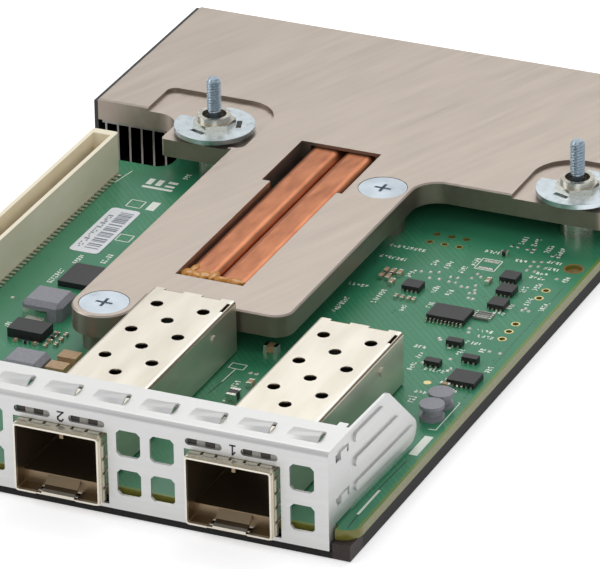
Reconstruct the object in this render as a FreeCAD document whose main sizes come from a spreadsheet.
# Dual-port server network daughter card: board, folded front bezel, two pluggable-module cages,
# heat-pipe cooler with captive screws, board-to-board connector and the larger board components.
# Card frame: X from the board's left edge, Y back from the bezel's face, Z up from the table.
import FreeCAD
import Part
import Sketcher
import os
from math import cos, floor, pi, sin

doc = FreeCAD.newDocument("network_card")
sheet = doc.addObject("Spreadsheet::Sheet", "sizes")

SIZES = {
    # board and the tray under it
    "card_width": 96.4, "board_front": 1.3, "board_rear": 112.0, "board_thick": 1.6,
    "step_across": 16.5, "step_deep": 6.5, "board_corner": 3.0, "step_corner": 2.6,
    "tray_tall": 2.6, "tray_floor": 1.1, "tray_wall": 1.2, "tray_inset": 0.3, "tray_short": 1.0,
    "corner_block": 4.6, "via_out": 4.4, "via_ahead": 7.6, "via_pitch": 2.6, "via_count": 3,
    "via_rise": 3.0,
    "via_radius": 0.5, "edge_hole": 4.1, "mount_edge": 2.9, "mount_back": 95.95,
    "mount_radius": 1.35,
    # folded bezel
    "sheet": 0.5, "bezel_margin": 3.7, "bezel_tall": 16.5, "bezel_fold": 8.8, "bend": 0.9,
    "flange_deep": 2.5, "flange_gap": 0.35, "cut_play": 0.775, "cut_sill": 0.25, "cut_head": 0.45, 
    "vent_wide": 4.0, "vent_tall": 4.45, "vent_corner": 0.6, "vent_pitch": 5.6,
    "vent_low": 3.6, "vent_rise": 6.7, "vent_margin": 2.3, "vent_land": 1.5, "vent_middle": 0.12,
    "vent_left_land": 1.74,
    "slot_long": 6.05, "slot_tall": 1.15, "slot_out": 7.7, "slot_gap": 3.1,
    "slot_land": 0.675,
    "bump_first": 4.2, "bump_tail": 2.8, "bump_count": 11, "bump_long": 5.4, "bump_wide": 3.6,
    "bump_rise": 0.9, "bump_back": 2.5,
    "panel_low": 4.9, "panel_top_long": 21.6, "panel_long": 34.8, "panel_round": 2.2,
    "panel_splay": 1.8, "rib_wide": 1.6, "rib_proud": 0.4, "rib_start": 9.3, "rib_pitch": 4.1,
    "rib_low": 7.4, "rib_long": 20.8, "rib_step": 5.2, "lance_long": 4.8, "lance_tall": 1.35,
    "lance_start": 2.85, "lance_low": 7.85, "lance_rise": 7.3, "lance_eye": 1.3,
    "lance_proud": 0.3, "tag_wide": 1.5, "tag_deep": 1.2, "tag_in": 0.9,
    # module cages, spring collars and the connectors inside them
    "cage_pitch": 28.56, "cage_wide": 14.25, "cage_tall": 9.2, "cage_deep": 48.3,
    "cage_wall": 0.3, "cage_bend": 0.6, "rim_proud": 1.8, "rim_drop": 2.2, "rim_back": 1.0,
    "hole_across": 4.0, "hole_pitch": 9.4, "hole_start": 5.4, "hole_radius": 1.05, "hole_rows": 3,
    "collar_wall": 0.2, "collar_deep": 0.7, "collar_start": 0.5, "finger_wide": 1.85,
    "finger_first": 0.23,
    "finger_long": 2.5, "finger_proud": 0.15, "finger_pitch": 2.35, "finger_count": 6,
    "flank_finger": 1.98, "flank_first": 0.37, "flank_pitch": 2.48, "flank_count": 4,
    "lip_left": 3.5, "lip_right": 10.2, "tongue_left": 4.5, "tongue_wide": 5.45,
    "tongue_rise": 0.85, "tab_across": 7.4, "tab_wide": 0.6, "tab_drop": 1.3,
    "notch_left": 2.1, "notch_wide": 3.3, "notch_pitch": 6.5, "notch_deep": 0.65,
    "slit_wide": 0.55, "slit_long": 3.0, "slit_back": 1.3, "dimple_back": 8.6,
    "dimple_up": 6.4, "dimple_round": 0.75, "dimple_proud": 0.25,
    "host_wide": 11.6, "host_deep": 9.0, "host_tall": 5.6, "host_slot": 1.5, "host_mouth": 10.0,
    "host_back": 2.2,
    # cooler
    "plate_under": 3.4, "plate_thick": 3.8, "fin_long": 40.3, "plate_left": 0.7,
    "plate_gap": 0.3, "ear_side": 7.3, "ear_reach": 5.7, "bar_reach": 5.0,
    "lobe_gap": 1.415, "stem_wide": 34.1, "stem_gap": 1.0, "stem_round": 3.0, "inner_round": 4.4,
    "ear_round": 0.8, "plate_round": 2.4, "plate_bevel": 0.25, "boss_ahead": 5.45,
    "boss_radius": 5.15, "post_radius": 3.6,
    "window_left": 11.25, "window_wide": 11.85, "window_ahead": 7.9, "window_short": 10.1,
    "window_over": 6.0, "window_ledge": 1.5, "window_lip": 1.0,
    "recess_deep": 0.7, "recess_out": 13.8, "recess_back": 12.2, "recess_in": 7.6,
    "recess_round": 1.6, "recess_big_round": 6.5, "dish_in": 9.5, "dish_back": 11.4, "dish_round": 7.0,
    "pipe_wide": 5.6, "pipe_tall": 2.9, "pipe_gap": 0.3, "pipe_ahead": 1.8, "pipe_nose": 0.9,
    "pipe_short": 7.4,
    "pipe_sink": 0.7, "pipe_edge": 1.35, "channel_play": 0.1,
    "fin_thick": 0.35, "fin_pitch": 2.2, "fin_gap": 0.6, "fin_inset": 0.5,
    "fin_base": 0.6, "fin_start": 1.1,
    # screws
    "head_radius": 4.1, "head_land": 0.5, "head_cone": 1.6, "flat_shank": 1.25, "flat_end": 1.4,
    "shank_play": 0.1, "cross_wide": 0.55, "cross_long": 2.9, "cross_deep": 0.9,
    "thread_radius": 1.0, "rear_screw_in": 4.77, "rear_screw_ahead": 5.5,
    "captive_across": 23.9, "captive_edge": 7.5, "captive_setback": 3.0, "stud_radius": 1.25,
    "stud_shank": 1.0, "thread_over": 0.35,
    "stud_proud": 6.5, "stud_tip": 0.35, "captive_head": 2.5, "captive_head_tall": 1.7,
    "captive_low": 0.55, "running_gap": 0.06, "board_hole": 1.6,
    "sleeve_radius": 2.8, "sleeve_proud": 2.7, "sleeve_bore": 2.05, "sleeve_sink": 3.4,
    "sleeve_flange": 3.6, "sleeve_flange_tall": 0.9, "groove_deep": 0.3, 
    "clip_thick": 0.8, "sleeve_play": 0.03, "head_room": 0.5, "clip_radius": 6.8,
    "clip_gap_left": 0.8, "clip_gap_front": 1.2,
    "clip_slot_long": 2.8, "clip_slot_wide": 0.9, "clip_slot_out": 4.1, "clip_slot_turn": 116.0,
    # board-to-board connector
    "mezz_left": 5.1, "mezz_wide": 4.6, "mezz_behind": 3.9, "mezz_long": 63.6, "mezz_tall": 7.2,
    "mezz_wall": 0.75, "mezz_end": 1.6, "mezz_floor": 1.2, "mezz_rib": 0.7, "mezz_rib_tall": 4.0,
    "pin_pitch": 1.27, "pin_wide": 0.6, "pin_long": 1.1, "pin_thick": 0.25, "pin_count": 48,
    # board components
    "chip_wide": 17.0, "chip_tall": 2.4, "chip_ahead": 15.0, "pad_wide": 14.0, "pad_play": 0.3,
    "pad_ahead": 1.6,
    "coil_wide": 7.1, "coil_deep": 6.4, "coil_tall": 3.1, "choke_wide": 6.5, "choke_deep": 6.0,
    "choke_tall": 2.6, "stage_wide": 8.1, "stage_deep": 7.0, "stage_tall": 1.0,
    "switch_wide": 6.1, "switch_deep": 4.1, "switch_tall": 1.6, "cap_wide": 3.2, "cap_deep": 2.5,
    "cap_tall": 2.2, "small_wide": 2.8, "small_tall": 1.0, "slim_wide": 2.6, "slim_deep": 1.4,
    "flash_wide": 4.6, "flash_deep": 4.0, "gauge_wide": 3.0, "gauge_deep": 2.6,
    "coil_bevel": 0.8, "drum_flange": 2.0, "drum_waist": 1.5, "drum_lip": 0.6, "drum_tall": 2.5,
    "logic_edge": 17.9, "logic_back": 70.4, "logic_long": 6.4, "logic_deep": 4.4,
    "logic_tall": 1.0, "lead_pitch": 0.65, "lead_wide": 0.25, "lead_long": 1.0, "lead_count": 10,
    "lead_thick": 0.2,
}


class Size:
    """A length that knows both its expression in the sheet and its present value."""

    def __init__(self, text, value):
        self.text = text
        self.value = value

    def join(self, other, sign, flip=False):
        other = other if isinstance(other, Size) else Size(repr(other), other)
        a, b = (other, self) if flip else (self, other)
        value = {"+": lambda: a.value + b.value, "-": lambda: a.value - b.value,
                 "*": lambda: a.value * b.value, "/": lambda: a.value / b.value}[sign]()
        return Size("(%s %s %s)" % (a.text, sign, b.text), value)

    def __add__(self, other):
        return self.join(other, "+")

    def __radd__(self, other):
        return self.join(other, "+", True)

    def __sub__(self, other):
        return self.join(other, "-")

    def __rsub__(self, other):
        return self.join(other, "-", True)

    def __mul__(self, other):
        return self.join(other, "*")

    def __rmul__(self, other):
        return self.join(other, "*", True)

    def __truediv__(self, other):
        return self.join(other, "/")


def whole(amount):
    """Whole number of pitches that fit."""
    return Size("floor(%s)" % amount.text, float(floor(amount.value)))


class Sheet:
    """The sizes by name, as s.card_width."""

    def __init__(self, cells):
        for number, (alias, value) in enumerate(cells.items(), start=1):
            sheet.set("A%d" % number, alias)
            sheet.set("B%d" % number, str(value))
            sheet.setAlias("B%d" % number, alias)
            setattr(self, alias, Size("sizes." + alias, value))


s = Sheet(SIZES)
doc.recompute()
ZERO = Size("0", 0.0)

# heights, from the table up
board_top = s.tray_tall + s.board_thick
plate_low = board_top + s.plate_under
plate_top = plate_low + s.plate_thick
sleeve_top = plate_top + s.sleeve_proud
stud_top = sleeve_top + s.stud_proud
pipe_low = plate_top - s.pipe_sink - s.pipe_tall
cut_low = board_top - s.rim_drop - s.cut_sill
cut_tall = s.cage_tall + s.rim_drop + s.cut_sill + s.cut_head
slot_height = cut_low + cut_tall + s.slot_land + s.slot_tall / 2

# places across, from the bezel's right end through the ports to the cooler's stem
bezel_right = s.card_width - s.bezel_margin
bezel_wide = s.card_width - 2 * s.bezel_margin
cut_wide = s.cage_wide + s.cut_play * 2
vent_right = bezel_right - s.vent_margin - s.vent_wide
cage_one = vent_right - s.vent_land - cut_wide / 2
cage_two_left = cage_one - s.cage_pitch - s.cage_wide / 2
vent_mid = cage_one - (s.cage_pitch + s.vent_pitch + s.vent_wide) / 2 - s.vent_middle
vent_room = cage_one - s.cage_pitch - cut_wide / 2 - s.vent_left_land - s.bezel_margin
vent_columns = whole((vent_room - s.vent_left_land + s.vent_pitch - s.vent_wide) / s.vent_pitch)
vent_left = s.bezel_margin + vent_room + s.vent_pitch - s.vent_wide - s.vent_pitch * vent_columns
bump_low = s.bump_first - s.bezel_margin
bump_pitch = (bezel_wide - bump_low - s.bump_long - s.bump_tail) / (s.bump_count - 1)
stem_left = cage_two_left - s.lobe_gap - s.boss_radius * 2
stem_right = stem_left + s.stem_wide
boss_x = stem_left + s.boss_radius
pipe_left = stem_left + s.window_left + (s.window_wide - s.pipe_gap) / 2 - s.pipe_wide
rear_screw_x = stem_right - s.rear_screw_in
captive_right = s.card_width - s.captive_edge
captive_span = captive_right - s.captive_across
ear_left = s.captive_across - s.ear_side
recess_left = s.captive_across - s.recess_out
recess_right = s.captive_across + s.recess_in
dish_left = captive_right - s.dish_in
fin_count = whole((s.card_width - s.plate_left - s.fin_start * 2 - s.fin_thick) / s.fin_pitch) + 1

# places back, from the board's rear edge and from the cages' rear
step_rear = s.board_rear - s.step_deep
tray_rear = s.board_rear - s.tray_short
captive_y = s.board_rear - s.captive_setback
ear_front = captive_y - s.ear_reach
bar_front = captive_y - s.bar_reach
rear_screw_y = bar_front - s.rear_screw_ahead
plate_step = s.board_rear + s.plate_gap
fin_front = s.board_rear + s.fin_gap
plate_rear = fin_front + s.fin_long + s.fin_inset
recess_rear = captive_y + s.recess_back
dish_rear = captive_y + s.dish_back
window_step = bar_front - s.window_short
window_rear = bar_front + s.window_over
mezz_front = step_rear - s.mezz_behind - s.mezz_long
stem_front = s.cage_deep + s.stem_gap
boss_y = stem_front - s.boss_ahead
window_front = stem_front + s.window_ahead
pipe_front = window_front + s.pipe_ahead
pipe_rear = plate_rear - s.pipe_short
nodes = []


def bound(item, path, amount):
    """Bind one property of an item to a size, or set it if the amount is a plain number."""
    item.setExpression(path, amount.text if isinstance(amount, Size) else repr(amount))


def node(item, label, across=ZERO, back=ZERO, up=ZERO):
    """Name a finished piece and place it so that the card's base centre is the origin."""
    item.Label = label
    bound(item, "Placement.Base.x", across - s.card_width / 2)
    bound(item, "Placement.Base.y", back + (s.rim_proud - plate_rear) / 2)
    bound(item, "Placement.Base.z", up)
    nodes.append(item)
    return item


def body(label, across=ZERO, back=ZERO, up=ZERO):
    return node(doc.addObject("PartDesign::Body", label), label, across, back, up)


def plane_of(part, role):
    return [f for f in part.Origin.OriginFeatures if f.Role == role][0]


def sketch(part, plane, away=ZERO):
    """Sketch on one of the body's own planes, moved along that plane's normal."""
    item = part.newObject("Sketcher::SketchObject", part.Label + "_sketch")
    item.AttachmentSupport = [(plane_of(part, plane), "")]
    item.MapMode = "FlatFace"
    bound(item, "AttachmentOffset.Base.z", away)
    return item


def hold(item, plain, driven):
    """Add plain constraints, then driving ones whose values come from the sheet."""
    first = item.ConstraintCount + len(plain)
    added = [Sketcher.Constraint(*args) for args in plain]
    added += [Sketcher.Constraint(kind, *args, float(amount.value)) for kind, args, amount in driven]
    item.addConstraint(added)
    for i, (kind, args, amount) in enumerate(driven):
        item.setExpression("Constraints[%d]" % (first + i), amount.text)


def spot(geometry, point, x, y):
    """Driving constraints that put one point of a sketch at a place."""
    return [("DistanceX", (-1, 1, geometry, point), x), ("DistanceY", (-1, 1, geometry, point), y)]


def outline(item, points):
    """Closed outline of straight runs through the points."""
    spots = [FreeCAD.Vector(x.value, y.value, 0) for x, y in points]
    first = item.GeometryCount
    count = len(spots)
    item.addGeometry([Part.LineSegment(spots[i], spots[(i + 1) % count]) for i in range(count)])
    joins = [("Coincident", first + i, 2, first + (i + 1) % count, 1) for i in range(count)]
    places = []
    for i, (x, y) in enumerate(points):
        places += spot(first + i, 1, x, y)
    hold(item, joins, places)


def rect(item, x, y, wide, tall):
    """Rectangle from its lower-left corner."""
    outline(item, [(x, y), (x + wide, y), (x + wide, y + tall), (x, y + tall)])


def circle(item, x, y, radius):
    centre = FreeCAD.Vector(x.value, y.value, 0)
    index = item.addGeometry(Part.Circle(centre, FreeCAD.Vector(0, 0, 1), float(radius.value)))
    hold(item, [], spot(index, 3, x, y) + [("Radius", (index,), radius)])


def pad(part, profile, length, back=False):
    item = part.newObject("PartDesign::Pad", part.Label + "_pad")
    item.Profile = profile
    bound(item, "Length", length)
    item.Reversed = back
    part.Tip = item
    return item


def pocket(part, profile, length, back=False):
    item = part.newObject("PartDesign::Pocket", part.Label + "_pocket")
    item.Profile = profile
    bound(item, "Length", length)
    item.Reversed = back
    part.Tip = item
    return item


def pattern(part, features, axis, step, count):
    """Repeat features along one of the body's own axes."""
    item = part.newObject("PartDesign::LinearPattern", part.Label + "_pattern")
    item.Originals = features
    item.Direction = (plane_of(part, axis), [""])
    bound(item, "Length", step * (count - 1))
    bound(item, "Occurrences", count)
    part.Tip = item
    return item


def dress(part, kind, measure, amount, wanted):
    """Fillet or chamfer on the edges of the tip that the test picks."""
    doc.recompute()
    tip = part.Tip
    names = ["Edge%d" % (i + 1) for i, e in enumerate(tip.Shape.Edges) if wanted(e)]
    item = part.newObject("PartDesign::" + kind, part.Label + "_" + kind.lower())
    item.Base = (tip, names)
    bound(item, measure, amount)
    part.Tip = item
    return item


def fillet(part, amount, wanted):
    return dress(part, "Fillet", "Radius", amount, wanted)


def along(edge, axis):
    """True for a straight edge along one axis."""
    if len(edge.Vertexes) < 2:
        return False
    a, b = edge.Vertexes[0].Point, edge.Vertexes[-1].Point
    rest = [k for k in "xyz" if k != axis]
    return all(abs(getattr(a, k) - getattr(b, k)) < 1e-6 for k in rest)


def upright(x, y, slack=0.05):
    """Test for a vertical edge at a place in the body's own frame."""
    def test(edge):
        p = edge.Vertexes[0].Point
        return along(edge, "z") and abs(p.x - x.value) < slack and abs(p.y - y.value) < slack
    return test


def any_of(*tests):
    return lambda edge: any(test(edge) for test in tests)


def num(amount):
    """A plain number where a size is wanted."""
    return Size(repr(float(amount)), float(amount))


def rounded(item, x, y, wide, tall, radius, far=None):
    """Rectangle with round corners, from its lower-left corner; far is its upper-right radius."""
    a, b, w, t = x.value, y.value, wide.value, tall.value
    radii = [radius, far or radius, radius, radius]
    r = [one.value for one in radii]
    quarter = 1.5707963267948966
    first = item.GeometryCount
    ends = [((a + r[3], b), (a + w - r[0], b)), ((a + w, b + r[0]), (a + w, b + t - r[1])),
            ((a + w - r[1], b + t), (a + r[2], b + t)), ((a, b + t - r[2]), (a, b + r[3]))]
    hubs = [(a + w - r[0], b + r[0]), (a + w - r[1], b + t - r[1]), (a + r[2], b + t - r[2]),
            (a + r[3], b + r[3])]
    runs = []
    for i in range(4):
        start, stop = [FreeCAD.Vector(p[0], p[1], 0) for p in ends[i]]
        hub = Part.Circle(FreeCAD.Vector(hubs[i][0], hubs[i][1], 0), FreeCAD.Vector(0, 0, 1), r[i])
        runs += [Part.LineSegment(start, stop),
                 Part.ArcOfCircle(hub, quarter * (i - 1), quarter * i)]
    item.addGeometry(runs)
    plain = []
    for i in range(4):
        line, arc, after = first + 2 * i, first + 2 * i + 1, first + (2 * i + 2) % 8
        plain += [("Tangent", line, 2, arc, 1), ("Tangent", arc, 2, after, 1),
                  ("Vertical" if i % 2 else "Horizontal", line)]
    plain += [("Equal", first + 1, first + 2 * i + 1) for i in (2, 3)]
    hold(item, plain, [("Radius", (first + 1,), radius), ("Radius", (first + 3,), radii[1]),
                       ("DistanceX", (-1, 1, first + 6, 1), x), ("DistanceY", (-1, 1, first, 1), y),
                       ("DistanceX", (first + 6, 1, first + 2, 1), wide),
                       ("DistanceY", (first, 1, first + 4, 1), tall)])


def arch(item, x, y, wide, rise, legs):
    """Arched profile in four facets on a chord at height y, with straight legs below it."""
    crown = [(x + wide * k, y + rise * (4 * k * (1 - k))) for k in (1.0, 0.75, 0.5, 0.25, 0.0)]
    outline(item, [(x, y - legs), (x + wide, y - legs)] + crown)


def polygon(item, x, y, reach, sides):
    """Regular outline about a centre, for small or repeated round holes and for a hexagon."""
    turns = [2 * pi * (k + 0.5) / sides for k in range(sides)]
    outline(item, [(x + reach * round(cos(a), 4), y + reach * round(sin(a), 4)) for a in turns])


def snipped(item, x, y, wide, tall, corner):
    """Rectangle with its corners cut off, from its lower-left corner."""
    outline(item, [(x + corner, y), (x + wide - corner, y), (x + wide, y + corner),
                   (x + wide, y + tall - corner), (x + wide - corner, y + tall),
                   (x + corner, y + tall), (x, y + tall - corner), (x, y + corner)])


def loft(part, kind, start, stop):
    item = part.newObject("PartDesign::" + kind, part.Label + "_loft")
    item.Profile = start
    item.Sections = [stop]
    item.Ruled = True
    part.Tip = item
    return item


# circuit board: rounded front-right corner, stepped rear edge and its holes
board = body("circuit_board", up=s.tray_tall)
plan = sketch(board, "XY_Plane")
outline(plan, [(ZERO, s.board_front), (s.card_width, s.board_front), (s.card_width, s.board_rear),
               (s.step_across, s.board_rear), (s.step_across, step_rear), (ZERO, step_rear)])
pad(board, plan, s.board_thick)
fillet(board, s.board_corner, upright(s.card_width, s.board_front))
fillet(board, s.step_corner, upright(s.step_across, step_rear))
fillet(board, s.step_corner / 2, any_of(upright(s.card_width, s.board_rear), upright(ZERO, step_rear),
                                        upright(s.step_across, s.board_rear)))
notches = sketch(board, "XY_Plane", s.board_thick)
for edge in (s.bezel_margin, bezel_right - s.sheet):
    rect(notches, edge - s.flange_gap, s.board_front - 0.5, s.sheet + 2 * s.flange_gap,
         s.flange_deep + s.flange_gap - s.board_front + 0.5)
pocket(board, notches, s.board_thick)
holes = sketch(board, "XY_Plane", s.board_thick)
for across in (s.captive_across, captive_right):
    circle(holes, across, captive_y, s.board_hole)
circle(holes, boss_x, boss_y, s.flat_shank + s.shank_play)
circle(holes, rear_screw_x, rear_screw_y, s.flat_shank + s.shank_play)
circle(holes, s.card_width - s.mount_edge, s.mount_back, s.mount_radius)
pocket(board, holes, s.board_thick)
vias = sketch(board, "XY_Plane", s.board_thick)
for line in range(2):
    polygon(vias, (stem_right + s.via_out), (bar_front - s.via_ahead) + s.via_rise * line, s.via_radius, 8)
pattern(board, [pocket(board, vias, s.board_thick)], "X_Axis", s.via_pitch, s.via_count)
tests = sketch(board, "XY_Plane", s.board_thick)
for back in (68.6, 71.4, 74.2, 84.1, 87.0):
    polygon(tests, s.card_width - s.edge_hole, num(back), s.via_radius, 8)
pocket(board, tests, s.board_thick)

# insulating tray: shallow pan under the board, open at the front, with a block in the front corner
tray = body("base_tray")
floor = sketch(tray, "XY_Plane")
rect(floor, s.tray_inset, ZERO, s.card_width - 2 * s.tray_inset, tray_rear)
pad(tray, floor, s.tray_tall)
hollow = sketch(tray, "XY_Plane", s.tray_tall)
step_back = tray_rear - s.board_rear + step_rear
tray_left = s.tray_inset + s.tray_wall
outline(hollow, [(tray_left, ZERO), (s.card_width - tray_left, ZERO),
                 (s.card_width - tray_left, tray_rear - s.tray_wall),
                 (s.step_across + tray_left, tray_rear - s.tray_wall),
                 (s.step_across + tray_left, step_back - s.tray_wall),
                 (tray_left, step_back - s.tray_wall)])
pocket(tray, hollow, s.tray_tall - s.tray_floor)
step = sketch(tray, "XY_Plane", s.tray_tall)
rect(step, ZERO, step_back, s.step_across + s.tray_inset, tray_rear - step_back)
pocket(tray, step, s.tray_tall)
heads = sketch(tray, "XY_Plane", s.tray_tall)
for across in (s.captive_across, captive_right):
    circle(heads, across, captive_y, s.captive_head + s.head_room)
pocket(tray, heads, s.tray_tall)
corner = sketch(tray, "XY_Plane", s.tray_floor)
rect(corner, bezel_right + s.flange_gap, ZERO,
     s.card_width - s.tray_inset - bezel_right - s.flange_gap, s.corner_block)
for across, back in ((boss_x, boss_y), (rear_screw_x, rear_screw_y)):
    circle(corner, across, back, 3 * s.thread_radius)
pad(tray, corner, s.tray_tall - s.tray_floor)
trim = sketch(tray, "XY_Plane", s.tray_tall)
for across in (ZERO + s.tray_inset, bezel_right - s.sheet - s.flange_gap):
    rect(trim, across, ZERO, s.bezel_margin + s.sheet + s.flange_gap - s.tray_inset
         if across.value < 1 else s.sheet + 2 * s.flange_gap, s.flange_deep + s.flange_gap)
pocket(tray, trim, s.tray_tall - s.tray_floor)
bores = sketch(tray, "XY_Plane", s.tray_tall)
for across, back in ((boss_x, boss_y), (rear_screw_x, rear_screw_y)):
    circle(bores, across, back, s.thread_radius + s.sleeve_play)
pocket(tray, bores, s.tray_tall)


# front bezel: folded sheet with port, indicator and air openings, lanced arches and a spring panel
bezel = body("front_bezel", across=s.bezel_margin, up=s.tray_floor)
fold = sketch(bezel, "YZ_Plane")
outline(fold, [(ZERO, ZERO), (s.sheet, ZERO), (s.sheet, s.bezel_tall - s.sheet),
               (s.bezel_fold, s.bezel_tall - s.sheet), (s.bezel_fold, s.bezel_tall),
               (ZERO, s.bezel_tall)])
pad(bezel, fold, bezel_wide)


def lengthwise(y, z, slack=0.05):
    """Test for an edge along x at a place in the body's own frame."""
    def test(edge):
        p = edge.Vertexes[0].Point
        return along(edge, "x") and abs(p.y - y.value) < slack and abs(p.z - z.value) < slack
    return test


fillet(bezel, s.bend, lengthwise(ZERO, s.bezel_tall))
fillet(bezel, s.bend - s.sheet, lengthwise(s.sheet, s.bezel_tall - s.sheet))
flange_low = board_top + s.flange_gap - s.tray_floor
for away in (ZERO, bezel_wide - s.sheet):
    side = sketch(bezel, "YZ_Plane", away)
    outline(side, [(s.sheet / 2, ZERO), (s.flange_deep, ZERO), (s.flange_deep, flange_low),
                   (s.bezel_fold, flange_low), (s.bezel_fold, s.bezel_tall - s.sheet / 2),
                   (s.sheet / 2, s.bezel_tall - s.sheet / 2)])
    pad(bezel, side, s.sheet)


def panel_sketch(away):
    """Sketch on the leaning plane of the spring panel."""
    item = sketch(bezel, "YZ_Plane", away)
    bound(item, "AttachmentOffset.Base.x", s.bezel_fold - 2 * s.sheet)
    item.setExpression("AttachmentOffset.Rotation.Axis.x", "0")
    item.setExpression("AttachmentOffset.Rotation.Axis.y", "1")
    item.setExpression("AttachmentOffset.Rotation.Axis.z", "0")
    item.setExpression("AttachmentOffset.Rotation.Angle", "-%s" % s.panel_splay.text)
    return item


panel_base = s.panel_low - s.tray_floor
panel_back = s.panel_long - s.bezel_fold + 2 * s.sheet
panel_top = s.panel_top_long - s.bezel_fold + 2 * s.sheet
panel = panel_sketch(bezel_wide - s.sheet)
outline(panel, [(ZERO, panel_base), (panel_back, panel_base), (panel_top, s.bezel_tall),
                (ZERO, s.bezel_tall)])
pad(bezel, panel, s.sheet)


def panel_corner(edge):
    """The two rounded rear corners of the spring panel."""
    if len(edge.Vertexes) < 2:
        return False
    a, b = edge.Vertexes[0].Point, edge.Vertexes[1].Point
    level = abs(a.z - b.z) < 0.01 and abs(a.y - b.y) < 0.1 and 0.3 < abs(a.x - b.x) < 0.7
    return level and a.y > s.panel_top_long.value - 1 and a.x > bezel_wide.value - 1


fillet(bezel, s.panel_round, panel_corner)
ribs = panel_sketch(bezel_wide)
for i in range(3):
    rounded(ribs, s.rib_start - s.bezel_fold + s.sheet * 2,
            s.rib_low + s.rib_pitch * i - s.tray_floor - s.rib_wide / 2,
            s.rib_long - s.rib_step * i, s.rib_wide, s.rib_wide / 2 - 0.01)
pad(bezel, ribs, s.rib_proud)
for i in range(2):
    height = s.lance_low + s.lance_rise * i - s.tray_floor - s.lance_tall / 2
    eyes = sketch(bezel, "YZ_Plane", bezel_wide)
    rect(eyes, s.lance_start, height, s.lance_eye, s.lance_tall)
    rect(eyes, s.lance_start + s.lance_long - s.lance_eye, height, s.lance_eye, s.lance_tall)
    pocket(bezel, eyes, s.sheet)
    bridge = sketch(bezel, "YZ_Plane", bezel_wide)
    rect(bridge, s.lance_start + s.lance_eye, height, s.lance_long - s.lance_eye * 2, s.lance_tall)
    pad(bezel, bridge, s.lance_proud)
tag = sketch(bezel, "XY_Plane", s.bezel_tall)
rect(tag, bezel_wide - s.tag_in - s.tag_wide, s.bezel_fold - s.sheet, s.tag_wide, s.tag_deep + s.sheet)
pad(bezel, tag, s.sheet, True)

for i in range(2):
    port = cage_one - s.cage_pitch * i - s.bezel_margin
    mouth = sketch(bezel, "XZ_Plane")
    rect(mouth, port - cut_wide / 2, cut_low - s.tray_floor, cut_wide, cut_tall)
    pocket(bezel, mouth, s.sheet)
    slots = sketch(bezel, "XZ_Plane")
    for start in (port - s.slot_out, port - s.slot_out + s.slot_long + s.slot_gap):
        rounded(slots, start, slot_height - s.tray_floor - s.slot_tall / 2, s.slot_long,
                s.slot_tall, s.slot_tall / 2 - 0.01)
    pocket(bezel, slots, s.sheet)
for right in (vent_right, vent_mid, vent_mid + s.vent_pitch):
    pair = sketch(bezel, "XZ_Plane")
    for line in range(2):
        snipped(pair, right - s.bezel_margin, s.vent_low + s.vent_rise * line - s.tray_floor,
                s.vent_wide, s.vent_tall, s.vent_corner)
    pocket(bezel, pair, s.sheet)
vents = sketch(bezel, "XZ_Plane")
for line in range(2):
    snipped(vents, vent_left - s.bezel_margin, s.vent_low + s.vent_rise * line - s.tray_floor,
            s.vent_wide, s.vent_tall, s.vent_corner)
vent_cut = pocket(bezel, vents, s.sheet)
pattern(bezel, [vent_cut], "X_Axis", s.vent_pitch, vent_columns)


def crossing(away, part, up, drop, rise, thick):
    """Section of a lanced arch across the bezel's top, at one place along it."""
    item = sketch(part, "YZ_Plane", away)
    arch(item, s.bump_back + thick, up, s.bump_wide - 2 * thick, rise, drop)
    return item


flush, open_rise = num(0.12), s.bump_rise
outer = [crossing(bump_low + away, bezel, s.bezel_tall, s.sheet / 2, rise, ZERO)
         for away, rise in ((ZERO, flush), (s.bump_long, open_rise))]
arches = loft(bezel, "AdditiveLoft", outer[0], outer[1])
inner = [crossing(bump_low + away, bezel, s.bezel_tall - s.sheet / 2, s.sheet, rise, s.sheet / 2)
         for away, rise in ((ZERO, flush), (s.bump_long + num(0.05), open_rise))]
hollows = loft(bezel, "SubtractiveLoft", inner[0], inner[1])
pattern(bezel, [arches, hollows], "X_Axis", bump_pitch, s.bump_count)


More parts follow.
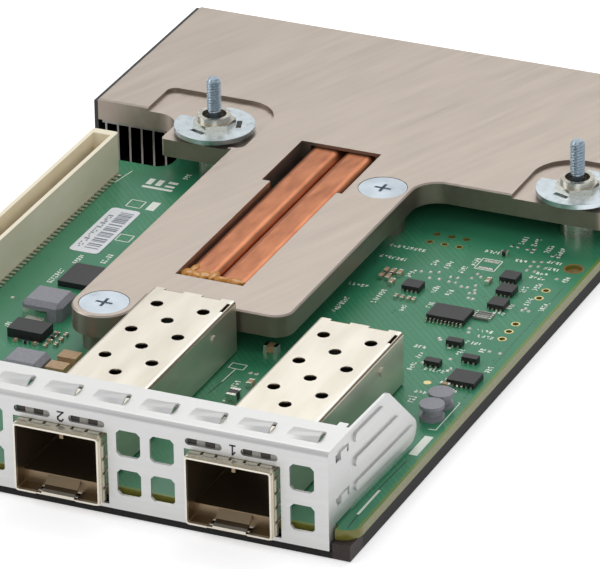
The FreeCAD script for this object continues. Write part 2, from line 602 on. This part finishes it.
def cage(label, centre):
    """Module cage: thin shell with a dropped mouth, vent holes and an open floor at its rear."""
    part = body(label, centre - s.cage_wide / 2, ZERO - s.rim_proud, board_top)
    mouth = s.rim_proud + s.rim_back
    deep = s.rim_proud + s.cage_deep
    skin = sketch(part, "XZ_Plane")
    rect(skin, ZERO, ZERO, s.cage_wide, s.cage_tall)
    pad(part, skin, deep, True)
    chin = sketch(part, "XZ_Plane")
    rect(chin, ZERO, ZERO - s.rim_drop, s.cage_wide, s.rim_drop + s.cage_wall)
    pad(part, chin, mouth, True)

    def long_edge(edge):
        p = edge.Vertexes[0].Point
        return along(edge, "y") and (abs(p.z - s.cage_tall.value) < 0.01 or p.z < 0.01)

    fillet(part, s.cage_bend, long_edge)
    hollow = sketch(part, "XZ_Plane")
    rounded(hollow, s.cage_wall, s.cage_wall, s.cage_wide - s.cage_wall * 2,
            s.cage_tall - s.cage_wall * 2, s.cage_bend - s.cage_wall)
    pocket(part, hollow, deep - s.cage_wall)
    throat = sketch(part, "XZ_Plane")
    rounded(throat, s.cage_wall, s.cage_wall - s.rim_drop, s.cage_wide - s.cage_wall * 2,
            s.cage_tall + s.rim_drop - s.cage_wall * 2, s.cage_bend - s.cage_wall)
    pocket(part, throat, mouth - s.cage_wall)
    seat = sketch(part, "XY_Plane", s.cage_wall)
    rect(seat, (s.cage_wide - s.host_wide) / 2 - s.flange_gap, deep - s.host_back - s.host_deep,
         s.host_wide + s.flange_gap * 2, s.host_deep + s.host_back - s.cage_wall)
    pocket(part, seat, s.cage_wall)
    tops = sketch(part, "XY_Plane", s.cage_tall)
    back = deep - s.hole_start - s.hole_pitch * (s.hole_rows - 1)
    polygon(tops, s.cage_wide / 2 - s.hole_across, back, s.hole_radius, 10)
    polygon(tops, s.cage_wide / 2 + s.hole_across, back, s.hole_radius, 10)
    polygon(tops, s.cage_wide / 2, back - s.hole_pitch / 2, s.hole_radius, 10)
    pattern(part, [pocket(part, tops, s.cage_wall)], "Y_Axis", s.hole_pitch, s.hole_rows)
    lip = sketch(part, "XZ_Plane")
    rect(lip, s.lip_left, ZERO - s.rim_drop - s.cage_wall, s.lip_right - s.lip_left,
         s.cage_wall * 2)
    pocket(part, lip, mouth - s.cage_wall)
    tongue = sketch(part, "YZ_Plane", s.tongue_left)
    rise = s.tongue_rise - s.rim_drop
    outline(tongue, [(ZERO, ZERO - s.rim_drop + 0.15), (mouth / 2, rise), (mouth - s.cage_wall / 2, ZERO),
                     (mouth - s.cage_wall / 2, s.cage_wall), (mouth / 2, rise + s.cage_wall),
                     (ZERO, ZERO - s.rim_drop + s.cage_wall * 2)])
    pad(part, tongue, s.tongue_wide)
    tab = sketch(part, "XZ_Plane", ZERO - s.rim_back)
    rect(tab, s.tab_across, s.cage_tall - s.cage_wall - s.tab_drop, s.tab_wide, s.tab_drop + s.cage_wall / 2)
    pad(part, tab, s.cage_wall, True)
    rear = sketch(part, "XY_Plane", s.cage_tall)
    for i in range(2):
        rect(rear, s.notch_left + s.notch_pitch * i, deep - s.notch_deep, s.notch_wide, s.notch_deep * 2)
    pocket(part, rear, s.cage_wall)
    slit = sketch(part, "XY_Plane", s.cage_tall)
    rect(slit, s.cage_wide - s.cage_bend - s.slit_wide / 2, deep - s.slit_back - s.slit_long,
         s.slit_wide, s.slit_long)
    pocket(part, slit, s.cage_wall * 2)
    dimple = sketch(part, "YZ_Plane", s.cage_wide)
    polygon(dimple, deep - s.dimple_back, s.dimple_up, s.dimple_round, 8)
    pad(part, dimple, s.dimple_proud)
    return part


def collar(label, centre):
    """Spring collar round a cage just inside its rim, with bowed grounding fingers."""
    part = body(label, centre - s.cage_wide / 2, ZERO - s.rim_proud, board_top)
    start = s.collar_start
    band = sketch(part, "XZ_Plane", ZERO - start)
    for grow in (s.collar_wall, ZERO):
        snipped(band, ZERO - grow, ZERO - s.rim_drop - grow, s.cage_wide + grow * 2,
                s.cage_tall + s.rim_drop + grow * 2, s.cage_bend / 2 + grow)
    pad(part, band, s.collar_deep, True)
    bow = s.finger_proud + s.collar_wall
    strip = [(start + s.collar_deep / 2, ZERO), (start + s.finger_long / 2, bow - s.collar_wall),
             (start + s.finger_long, ZERO + 0.05), (start + s.finger_long, ZERO + 0.05 + s.collar_wall),
             (start + s.finger_long / 2, bow), (start + s.collar_deep / 2, ZERO + s.collar_wall)]
    top = sketch(part, "YZ_Plane", s.finger_first)
    outline(top, [(a, s.cage_tall + b) for a, b in strip])
    pattern(part, [pad(part, top, s.finger_wide)], "X_Axis", s.finger_pitch, s.finger_count)
    for side in (ZERO - 1, ZERO + 1):
        flank = sketch(part, "XY_Plane", s.flank_first - s.rim_drop)
        face = s.cage_wide if side.value > 0 else ZERO
        outline(flank, [(face + side * b, a) for a, b in strip])
        pattern(part, [pad(part, flank, s.flank_finger)], "Z_Axis", s.flank_pitch, s.flank_count)
    return part


def host(label, centre):
    """Edge socket inside a cage's rear, with the slot that a module's card enters."""
    part = body(label, centre - s.host_wide / 2, s.cage_deep - s.host_back - s.host_deep, board_top)
    block = sketch(part, "XY_Plane")
    rect(block, ZERO, s.flange_gap, s.host_wide, s.host_deep - s.flange_gap)
    pad(part, block, s.host_tall)
    slot = sketch(part, "XZ_Plane", ZERO - s.flange_gap)
    rect(slot, (s.host_wide - s.host_mouth) / 2, (s.host_tall - s.host_slot) / 2, s.host_mouth,
         s.host_slot)
    pocket(part, slot, s.host_deep * 0.7)
    return part


for i in range(2):
    cage("port_cage_%d" % (i + 1), cage_one - s.cage_pitch * i)
    collar("spring_collar_%d" % (i + 1), cage_one - s.cage_pitch * i)
    host("host_connector_%d" % (i + 1), cage_one - s.cage_pitch * i)

# heat plate: wide bar at the rear, a stem to the front with a lobe, windows, recesses and sinks
plate = body("heat_plate", up=plate_low)
plan = sketch(plate, "XY_Plane")
outline(plan, [(s.plate_left, plate_step), (ear_left, plate_step), (ear_left, ear_front),
               (stem_left, ear_front), (stem_left, boss_y),
               (stem_left + s.boss_radius * 2, boss_y), (stem_left + s.boss_radius * 2, stem_front),
               (stem_right, stem_front), (stem_right, bar_front), (s.card_width, bar_front),
               (s.card_width, plate_rear), (s.plate_left, plate_rear)])
pad(plate, plan, s.plate_thick)
fillet(plate, s.stem_round, upright(stem_right, stem_front))
fillet(plate, s.inner_round, any_of(upright(stem_right, bar_front), upright(ear_left, plate_step)))
fillet(plate, s.ear_round, any_of(upright(ear_left, ear_front), upright(stem_left, ear_front),
                                  upright(stem_left + s.boss_radius * 2, stem_front)))
fillet(plate, s.plate_round, upright(s.card_width, bar_front))
lobe = sketch(plate, "XY_Plane")
circle(lobe, boss_x, boss_y, s.boss_radius)
pad(plate, lobe, s.plate_thick)
posts = sketch(plate, "XY_Plane")
circle(posts, boss_x, boss_y, s.post_radius)
circle(posts, rear_screw_x, rear_screw_y, s.post_radius)
pad(plate, posts, s.plate_under, True)


def top_rim(edge):
    return all(abs(v.Point.z - s.plate_thick.value) < 0.01 for v in edge.Vertexes)


dress(plate, "Chamfer", "Size", s.plate_bevel, top_rim)
window = sketch(plate, "XY_Plane", s.plate_thick)
window_x = stem_left + s.window_left
outline(window, [(window_x, window_front), (window_x + s.window_wide, window_front),
                 (window_x + s.window_wide, window_step),
                 (window_x + s.window_wide + s.window_lip, window_step),
                 (window_x + s.window_wide + s.window_lip, window_rear),
                 (window_x - s.window_ledge, window_rear), (window_x - s.window_ledge, window_step),
                 (window_x, window_step)])
pocket(plate, window, s.plate_thick)
sunk = sketch(plate, "XY_Plane", s.plate_thick)
rounded(sunk, recess_left, ear_front, recess_right - recess_left, recess_rear - ear_front,
        s.recess_round, s.recess_big_round)
pocket(plate, sunk, s.recess_deep)
dish = sketch(plate, "XY_Plane", s.plate_thick)
rect(dish, dish_left, bar_front, s.card_width - dish_left, dish_rear - bar_front)
pocket(plate, dish, s.recess_deep)
fillet(plate, s.dish_round, upright(dish_left, dish_rear))
drill = sketch(plate, "XY_Plane", s.plate_thick)
for across in (s.captive_across, captive_right):
    circle(drill, across, captive_y, s.sleeve_radius + s.sleeve_play)
pocket(plate, drill, s.plate_thick)
pilots = sketch(plate, "XY_Plane", s.plate_thick)
circle(pilots, boss_x, boss_y, s.flat_shank + s.shank_play)
circle(pilots, rear_screw_x, rear_screw_y, s.flat_shank + s.shank_play)
pocket(plate, pilots, s.plate_thick + s.plate_under)
channel = sketch(plate, "XZ_Plane", ZERO - window_rear)
rect(channel, pipe_left - s.channel_play, ZERO, s.pipe_wide * 2 + s.pipe_gap + s.channel_play * 2,
     pipe_low + s.pipe_tall + s.channel_play - plate_low)
pocket(plate, channel, pipe_rear + s.channel_play - window_rear)


def lathe(part, across, back, points):
    """Revolve a half profile (radius, height) about an upright axis at a place."""
    half = sketch(part, "XZ_Plane", ZERO - back)
    bound(half, "AttachmentOffset.Base.x", across)
    outline(half, points)
    item = part.newObject("PartDesign::Revolution", part.Label + "_turned")
    item.Profile = half
    item.ReferenceAxis = (half, ["V_Axis"])
    part.Tip = item
    return item


def groove(part, across, back, points):
    half = sketch(part, "XZ_Plane", ZERO - back)
    bound(half, "AttachmentOffset.Base.x", across)
    outline(half, points)
    item = part.newObject("PartDesign::Groove", part.Label + "_turned")
    item.Profile = half
    item.ReferenceAxis = (half, ["V_Axis"])
    part.Tip = item
    return item


sink_deep = s.head_land + s.head_cone
for across, back in ((boss_x, boss_y), (rear_screw_x, rear_screw_y)):
    groove(plate, across, back,
           [(ZERO, s.plate_thick), (ZERO, s.plate_thick - sink_deep),
            (s.flat_shank + s.shank_play, s.plate_thick - sink_deep),
            (s.head_radius, s.plate_thick - s.head_land), (s.head_radius, s.plate_thick)])

# flat-headed screws that hold the plate to the tray
screws = body("plate_screws")
for across, back in ((boss_x, boss_y), (rear_screw_x, rear_screw_y)):
    lathe(screws, across, back,
          [(ZERO, s.flat_end), (s.thread_radius, s.flat_end), (s.thread_radius, s.tray_tall),
           (s.flat_shank, s.tray_tall), (s.flat_shank, plate_top - sink_deep),
           (s.head_radius - s.shank_play, plate_top - s.head_land - 0.05),
           (s.head_radius - s.shank_play, plate_top - 0.05), (ZERO, plate_top - 0.05)])

cross = sketch(screws, "XY_Plane", plate_top - 0.05)
for across, back in ((boss_x, boss_y), (rear_screw_x, rear_screw_y)):
    w, r = s.cross_wide / 2, s.cross_long / 2
    outline(cross, [(across - r, back - w), (across - w, back - w), (across - w, back - r),
                    (across + w, back - r), (across + w, back - w), (across + r, back - w),
                    (across + r, back + w), (across + w, back + w), (across + w, back + r),
                    (across - w, back + r), (across - w, back + w), (across - r, back + w)])
pocket(screws, cross, s.cross_deep)

# two flattened heat pipes side by side, running from over the chip to the rear of the plate
for i, side in enumerate(("left", "right")):
    pipe = body("heat_pipe_" + side, back=pipe_front)
    across = pipe_left + (s.pipe_wide + s.pipe_gap) * i
    end = sketch(pipe, "XZ_Plane")
    rounded(end, across, pipe_low, s.pipe_wide, s.pipe_tall, s.pipe_edge)
    pad(pipe, end, pipe_rear - pipe_front, True)
    dress(pipe, "Chamfer", "Size", s.pipe_nose,
          lambda e: all(abs(v.Point.y) < 0.01 for v in e.Vertexes))

# fin stack under the rear of the plate, and the strip that closes its left side
fins = body("fin_stack", across=s.plate_left, back=fin_front)
fin_deep = plate_rear - s.fin_inset - fin_front
base = sketch(fins, "XY_Plane", plate_low - s.fin_base)
rect(base, s.fin_start - 0.5, ZERO, s.fin_pitch * (fin_count - 1) + s.fin_thick + 1.0, fin_deep)
pad(fins, base, s.fin_base)
blade = sketch(fins, "XY_Plane")
rect(blade, s.fin_start, ZERO, s.fin_thick, fin_deep)
pattern(fins, [pad(fins, blade, plate_low - s.fin_base / 2)], "X_Axis", s.fin_pitch, fin_count)
cover = body("fin_side_cover", back=plate_step)
strip = sketch(cover, "YZ_Plane")
rect(strip, ZERO, num(0.2), plate_rear - plate_step, plate_top - 0.4 - num(0.2))
pad(cover, strip, s.plate_left)

# captive screws: sleeve pressed in the plate, clip in its groove and the screw that turns in it
sleeves = body("captive_sleeves", up=board_top)
clips = body("retaining_clips", up=plate_top)
sleeve_tall = sleeve_top - board_top
bore_floor = sleeve_tall - s.sleeve_sink
groove_low = plate_top - board_top
guide = s.stud_shank + s.running_gap
hex_low = groove_low + s.clip_thick
for across in (s.captive_across, captive_right):
    lathe(sleeves, across, captive_y,
          [(guide, ZERO), (s.sleeve_radius, ZERO), (s.sleeve_radius, groove_low),
           (s.sleeve_radius - s.groove_deep, groove_low),
           (s.sleeve_radius - s.groove_deep, groove_low + s.clip_thick),
           (s.sleeve_radius, groove_low + s.clip_thick), (s.sleeve_radius, sleeve_tall),
           (s.sleeve_bore, sleeve_tall), (s.sleeve_bore, bore_floor), (guide, bore_floor)])
    eye = s.sleeve_radius - s.groove_deep + s.sleeve_play
    lathe(clips, across, captive_y,
          [(eye, ZERO), (s.clip_radius, ZERO), (s.clip_radius, s.clip_thick), (eye, s.clip_thick)])
for across in (s.captive_across, captive_right):
    nut = sketch(sleeves, "XY_Plane", hex_low)
    polygon(nut, across, captive_y, s.sleeve_flange, 6)
    circle(nut, across, captive_y, (s.sleeve_bore + s.sleeve_radius) / 2)
    pad(sleeves, nut, s.sleeve_flange_tall)
    gap = sketch(clips, "XY_Plane", s.clip_thick)
    rect(gap, across - s.clip_radius - 1, captive_y + s.clip_gap_front,
         s.clip_radius + 1 - s.clip_gap_left, s.clip_radius)
    pocket(clips, gap, s.clip_thick)
    for turn in (s.clip_slot_turn, s.clip_slot_turn * -1):
        slot = sketch(clips, "XY_Plane", s.clip_thick)
        bound(slot, "AttachmentOffset.Base.x", across)
        bound(slot, "AttachmentOffset.Base.y", captive_y)
        for k in "xyz":
            slot.setExpression("AttachmentOffset.Rotation.Axis." + k, str(int(k == "z")))
        slot.setExpression("AttachmentOffset.Rotation.Angle", "135 + %s" % turn.text)
        rect(slot, s.clip_slot_out - s.clip_slot_wide / 2, ZERO - s.clip_slot_long / 2,
             s.clip_slot_wide, s.clip_slot_long)
        pocket(clips, slot, s.clip_thick)
for i, side in enumerate(("left", "right")):
    screw = body("captive_screw_" + side)
    rim = s.captive_low + s.captive_head_tall
    lathe(screw, s.captive_across + captive_span * i, captive_y,
          [(ZERO, s.captive_low), (s.captive_head, s.captive_low), (s.captive_head, rim),
           (s.stud_shank, rim), (s.stud_shank, sleeve_top + s.thread_over),
           (s.stud_radius, sleeve_top + s.thread_over), (s.stud_radius, stud_top - s.stud_tip),
           (s.stud_radius - s.stud_tip, stud_top), (ZERO, stud_top)])

# board-to-board connector: ridged ivory trough with a comb of surface-mount contacts at each side
mezz = body("mezzanine_connector", s.mezz_left, mezz_front, board_top)
trough = sketch(mezz, "XY_Plane")
rounded(trough, ZERO, ZERO, s.mezz_wide, s.mezz_long, num(0.5))
pad(mezz, trough, s.mezz_tall)
inside = sketch(mezz, "XY_Plane", s.mezz_tall)
rect(inside, s.mezz_wall, s.mezz_end, s.mezz_wide - s.mezz_wall * 2, s.mezz_long - s.mezz_end * 2)
pocket(mezz, inside, s.mezz_tall - s.mezz_floor)
ridge = sketch(mezz, "XY_Plane", s.mezz_floor)
rect(ridge, (s.mezz_wide - s.mezz_rib) / 2, s.mezz_end, s.mezz_rib, s.mezz_long - s.mezz_end * 2)
pad(mezz, ridge, s.mezz_rib_tall)
contacts = body("connector_contacts", s.mezz_left, mezz_front, board_top)
pin_run = s.pin_pitch * (s.pin_count - 1) + s.pin_wide
pin_first = (s.mezz_long - pin_run) / 2
for side in (ZERO, ZERO + 1):
    feet = sketch(contacts, "XY_Plane")
    across = s.mezz_wide if side.value else ZERO - s.pin_long
    rect(feet, across, pin_first, s.pin_long, s.pin_wide)
    pattern(contacts, [pad(contacts, feet, s.pin_thick)], "Y_Axis", s.pin_pitch, s.pin_count)

# controller under the stem, with the pad that carries its heat up to the pipes
chip_across = pipe_left + s.pipe_wide + s.pipe_gap / 2 - s.chip_wide / 2
chip = body("controller_chip", chip_across, (pipe_front + s.chip_ahead), board_top)
face = sketch(chip, "XY_Plane")
rect(face, ZERO, ZERO, s.chip_wide, s.chip_wide)
pad(chip, face, s.chip_tall)
soft = body("thermal_pad", chip_across, (pipe_front + s.chip_ahead), board_top + s.chip_tall)
face = sketch(soft, "XY_Plane")
rect(face, (s.chip_wide - s.window_wide) / 2 + s.pad_play, s.pad_ahead,
     s.window_wide - s.pad_play * 2, s.pad_wide)
pad(soft, face, pipe_low - board_top - s.chip_tall)


def blocks(label, places, bevel=ZERO):
    """Box-shaped components on the board, each (across, back, wide, deep, tall)."""
    part = body(label, up=board_top)
    for across, back, wide, deep, tall in places:
        seat = sketch(part, "XY_Plane")
        rect(seat, across, back, wide, deep)
        pad(part, seat, tall)
    if bevel.value:
        dress(part, "Chamfer", "Size", bevel,
              lambda e: along(e, "z") or min(v.Point.z for v in e.Vertexes) > 0.05)
    return part


# power parts between the connector and the cooler's front post, and beside the second cage
field = (s.mezz_left + s.mezz_wide + s.pin_long + boss_x - s.post_radius) / 2
blocks("power_inductors",
       [(field - 2.775, ZERO + 47.1, s.coil_wide, s.coil_deep, s.coil_tall),
        (cage_two_left - 17.215, boss_y - 16.25, s.choke_wide, s.choke_deep, s.choke_tall)],
       s.coil_bevel)
blocks("power_stages",
       [(field - 2.075, ZERO + 59.1, s.stage_wide, s.stage_deep, s.stage_tall),
        (field - 1.575, ZERO + 39.9, s.switch_wide, s.switch_deep, s.switch_tall)])
blocks("ceramic_capacitors",
       [(cage_two_left - out, boss_y - ahead, s.cap_wide, s.cap_deep, s.cap_tall)
        for out, ahead in ((9.715, 10.85), (9.915, 14.85))])

# small chips and the logic chip, set out from the board's right edge
small = [(out, back, s.small_wide, s.small_wide)
         for out, back in ((12.2, 87.0), (11.0, 82.5), (10.4, 77.5))]
small += [(out, back, s.slim_wide, s.slim_deep) for out, back in ((11.5, 63.2), (12.0, 55.5), (7.0, 58.8))]
small += [(6.2, 50.9, s.flash_wide, s.flash_deep), (25.6, 78.4, s.gauge_wide, s.gauge_deep)]
blocks("small_chips", [(s.card_width - out, ZERO + back, wide, deep, s.small_tall)
                       for out, back, wide, deep in small])
logic = body("logic_chip", (s.card_width - s.logic_edge), s.logic_back, board_top)
face = sketch(logic, "XY_Plane")
rect(face, ZERO, ZERO, s.logic_long, s.logic_deep)
pad(logic, face, s.logic_tall)
leads = body("logic_leads", (s.card_width - s.logic_edge), s.logic_back, board_top)
row = s.lead_pitch * (s.lead_count - 1) + s.lead_wide
for back in (ZERO - s.lead_long, s.logic_deep):
    lead = sketch(leads, "XY_Plane")
    rect(lead, (s.logic_long - row) / 2, back, s.lead_wide, s.lead_long)
    pattern(leads, [pad(leads, lead, s.lead_thick)], "X_Axis", s.lead_pitch, s.lead_count)
round_coils = body("round_inductors", up=board_top)
for out, back in ((4.2, 44.1), (3.95, 39.9)):
    for low, reach, tall in ((ZERO, s.drum_flange, s.drum_lip),
                             (s.drum_lip, s.drum_waist, s.drum_tall - s.drum_lip * 2),
                             (s.drum_tall - s.drum_lip, s.drum_flange, s.drum_lip)):
        disc = sketch(round_coils, "XY_Plane", low)
        polygon(disc, s.card_width - out, num(back), reach, 16)
        pad(round_coils, disc, tall)

doc.recompute()
faults = [o.Label for o in doc.Objects if "Invalid" in o.State or "Error" in o.State]
for item in nodes:
    if item.Shape.isNull() or not item.Shape.isValid():
        faults.append(item.Label + " has a bad shape")
    print(item.Label, len(item.Shape.Solids), round(item.Shape.Volume, 2), item.Shape.BoundBox)
if faults:
    raise RuntimeError("faults: " + ", ".join(faults))
os.makedirs("parts", exist_ok=True)
for item in nodes:
    item.Shape.exportStep("parts/%s.step" % item.Label)
